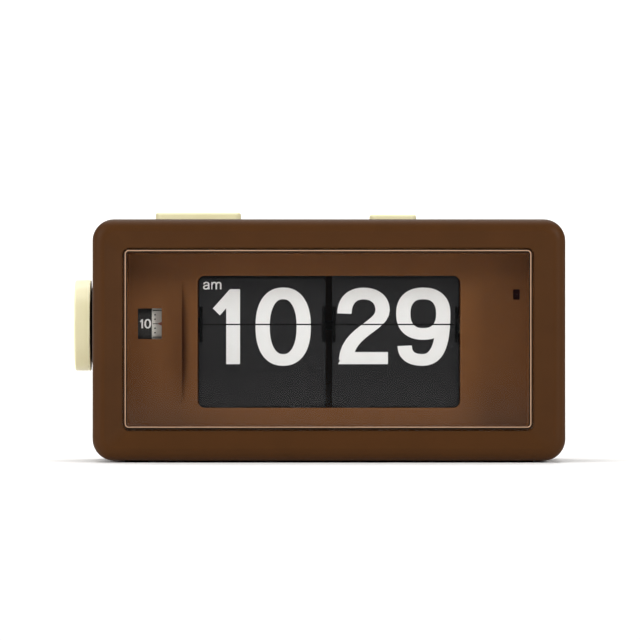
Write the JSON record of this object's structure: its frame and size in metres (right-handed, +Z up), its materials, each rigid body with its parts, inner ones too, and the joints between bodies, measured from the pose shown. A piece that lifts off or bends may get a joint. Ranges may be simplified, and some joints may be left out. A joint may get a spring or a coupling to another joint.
{
  "type": "flip number alarm clock",
  "caption": "Rounded brown table alarm clock with falling number leaves for hours and minutes behind a clear lens, a side knob for the alarm drum and cream buttons on top.",
  "frame": {"origin": "middle of the whole clock's footprint, on the table", "axes": "+Z up, the dial faces -Y, +X is to the right as seen from the front"},
  "size_m": [0.2098, 0.0935, 0.1065],
  "materials": {
    "case_brown": "satin moulded brown plastic with a fine grain",
    "panel_brown": "matt brown plastic",
    "cream": "smooth cream plastic",
    "clear": "clear lens",
    "rim_pale": "pale polished rim",
    "leaf_black": "matt black printed leaf",
    "dark_plastic": "dark brown plastic",
    "frame_steel": "zinc plated sheet",
    "gear_white": "natural acetal",
    "steel": "bright steel",
    "black_steel": "blackened steel",
    "disc_black": "deep black disc",
    "brass": "plated brass",
    "rubber": "soft feet",
    "alarm_dial": "printed white and black",
    "pointer_red": "muted red",
    "lamp": "small bulb",
    "cell": "plain wrapped cell",
    "board": "circuit board",
    "indicator": "dark red drum",
    "lead": "insulated wire"
  },
  "bodies": {
    "case": {"front_case": "case_brown", "rear_cover": "case_brown", "case_screws": "steel", "feet": "rubber", "lens_rim": "rim_pale", "lens": "clear", "dial_panel": "panel_brown", "alarm_pointer": "pointer_red", "lamp": "lamp", "lamp_holder": "dark_plastic", "leaf_aprons": "leaf_black", "leaf_clips": "dark_plastic", "knob_bush": "dark_plastic", "bush_nut": "brass", "motor_case": "dark_plastic", "left_plate": "frame_steel", "right_plate": "frame_steel", "gear_plate": "frame_steel", "alarm_plate": "frame_steel", "spacers": "steel", "frame_screws": "steel", "button_bracket": "board", "switches": "dark_plastic", "snooze_spring": "steel", "light_spring": "steel", "battery_boxes": "dark_plastic", "clock_cell": "cell", "alarm_cells": "cell", "battery_contacts": "brass", "circuit_board": "board", "buzzer": "dark_plastic", "internal_leads": "lead", "hour_leaves": "leaf_black", "minute_leaves": "leaf_black"},
    "minute_drum": {"minute_discs": "disc_black", "minute_core": "disc_black", "minute_wheel": "gear_white", "main_shaft": "black_steel", "carry_pinion": "brass"},
    "hour_drum": {"hour_discs": "disc_black", "hour_core": "disc_black", "hour_wheel": "gear_white"},
    "carry": {"carry_arbor": "gear_white"},
    "relay": {"relay_arbor": "gear_white"},
    "trip": {"trip_wheel": "gear_white"},
    "alarm_dial": {"alarm_drum": "alarm_dial", "alarm_shaft": "steel", "alarm_knob": "cream"},
    "motor": {"motor_pinion": "brass"},
    "running": {"run_indicator": "indicator"},
    "idler": {"set_idler": "gear_white"},
    "setting": {"set_wheel": "gear_white"},
    "hour_leaf": {"hour_flap": "leaf_black"},
    "minute_leaf": {"minute_flap": "leaf_black"},
    "snooze": {"snooze_button": "cream"},
    "light": {"light_button": "cream"},
    "clock_lid": {"clock_door": "case_brown", "clock_door_contact": "brass"},
    "alarm_lid": {"alarm_door": "case_brown", "alarm_door_contact": "brass"}
  },
  "joints": [
    {"name": "minute_drum_turn", "type": "hinge", "parent": "case", "child": "minute_drum", "pos_m": [0.03245, 0.00285, 0.05822], "axis": [1, 0, 0], "continuous": true, "deforming": ["minute_leaves"]},
    {"name": "hour_drum_turn", "type": "hinge", "parent": "case", "child": "hour_drum", "pos_m": [-0.02355, 0.00285, 0.05822], "axis": [1, 0, 0], "continuous": true, "deforming": ["hour_leaves"]},
    {"name": "carry_turn", "type": "hinge", "parent": "case", "child": "carry", "pos_m": [-0.05855, 0.02104, 0.04772], "axis": [1, 0, 0], "continuous": true},
    {"name": "relay_turn", "type": "hinge", "parent": "case", "child": "relay", "pos_m": [-0.07055, 0.01982, 0.07519], "axis": [1, 0, 0], "continuous": true},
    {"name": "trip_turn", "type": "hinge", "parent": "case", "child": "trip", "pos_m": [-0.08055, 0.00285, 0.05822], "axis": [1, 0, 0], "continuous": true},
    {"name": "alarm_set_turn", "type": "hinge", "parent": "case", "child": "alarm_dial", "pos_m": [-0.08055, 0.00285, 0.05822], "axis": [1, 0, 0], "continuous": true},
    {"name": "motor_turn", "type": "hinge", "parent": "case", "child": "motor", "pos_m": [0.06445, -0.0092, 0.07542], "axis": [1, 0, 0], "continuous": true},
    {"name": "running_turn", "type": "hinge", "parent": "case", "child": "running", "pos_m": [0.07445, -0.01443, 0.0714], "axis": [1, 0, 0], "continuous": true},
    {"name": "idler_turn", "type": "hinge", "parent": "case", "child": "idler", "pos_m": [0.06445, 0.02307, 0.04033], "axis": [1, 0, 0], "continuous": true},
    {"name": "setting_turn", "type": "hinge", "parent": "case", "child": "setting", "pos_m": [0.06445, 0.03575, 0.044], "axis": [1, 0, 0], "continuous": true},
    {"name": "hour_leaf_fall", "type": "hinge", "parent": "case", "child": "hour_leaf", "pos_m": [-0.02385, -0.0195, 0.0586], "axis": [1, 0, 0], "range_deg": [0, 179.5]},
    {"name": "minute_leaf_fall", "type": "hinge", "parent": "case", "child": "minute_leaf", "pos_m": [0.03275, -0.0195, 0.0586], "axis": [1, 0, 0], "range_deg": [0, 179.5]},
    {"name": "snooze_press", "type": "slide", "parent": "case", "child": "snooze", "axis": [0, 0, -1], "range_m": [0, 0.002], "stiffness_N_per_m": 400, "springref_m": -0.002, "deforming": ["snooze_spring"]},
    {"name": "light_press", "type": "slide", "parent": "case", "child": "light", "axis": [0, 0, -1], "range_m": [0, 0.002], "stiffness_N_per_m": 400, "springref_m": -0.002, "deforming": ["light_spring"]},
    {"name": "clock_door_hinge", "type": "hinge", "parent": "case", "child": "clock_lid", "pos_m": [0.08365, 0.04225, 0.0057], "axis": [-1, 0, 0], "range_deg": [0, 100]},
    {"name": "alarm_door_hinge", "type": "hinge", "parent": "case", "child": "alarm_lid", "pos_m": [-0.07255, 0.04225, 0.0057], "axis": [-1, 0, 0], "range_deg": [0, 100]}
  ],
  "couplings": [
    {"joint": "hour_drum_turn", "follows": "minute_drum_turn", "ratio": 0.041667},
    {"joint": "carry_turn", "follows": "minute_drum_turn", "ratio": -0.25},
    {"joint": "relay_turn", "follows": "minute_drum_turn", "ratio": -0.125},
    {"joint": "trip_turn", "follows": "minute_drum_turn", "ratio": 0.083333},
    {"joint": "motor_turn", "follows": "minute_drum_turn", "ratio": -6},
    {"joint": "running_turn", "follows": "minute_drum_turn", "ratio": 5},
    {"joint": "idler_turn", "follows": "minute_drum_turn", "ratio": -2},
    {"joint": "setting_turn", "follows": "minute_drum_turn", "ratio": 4.2857}
  ]
}
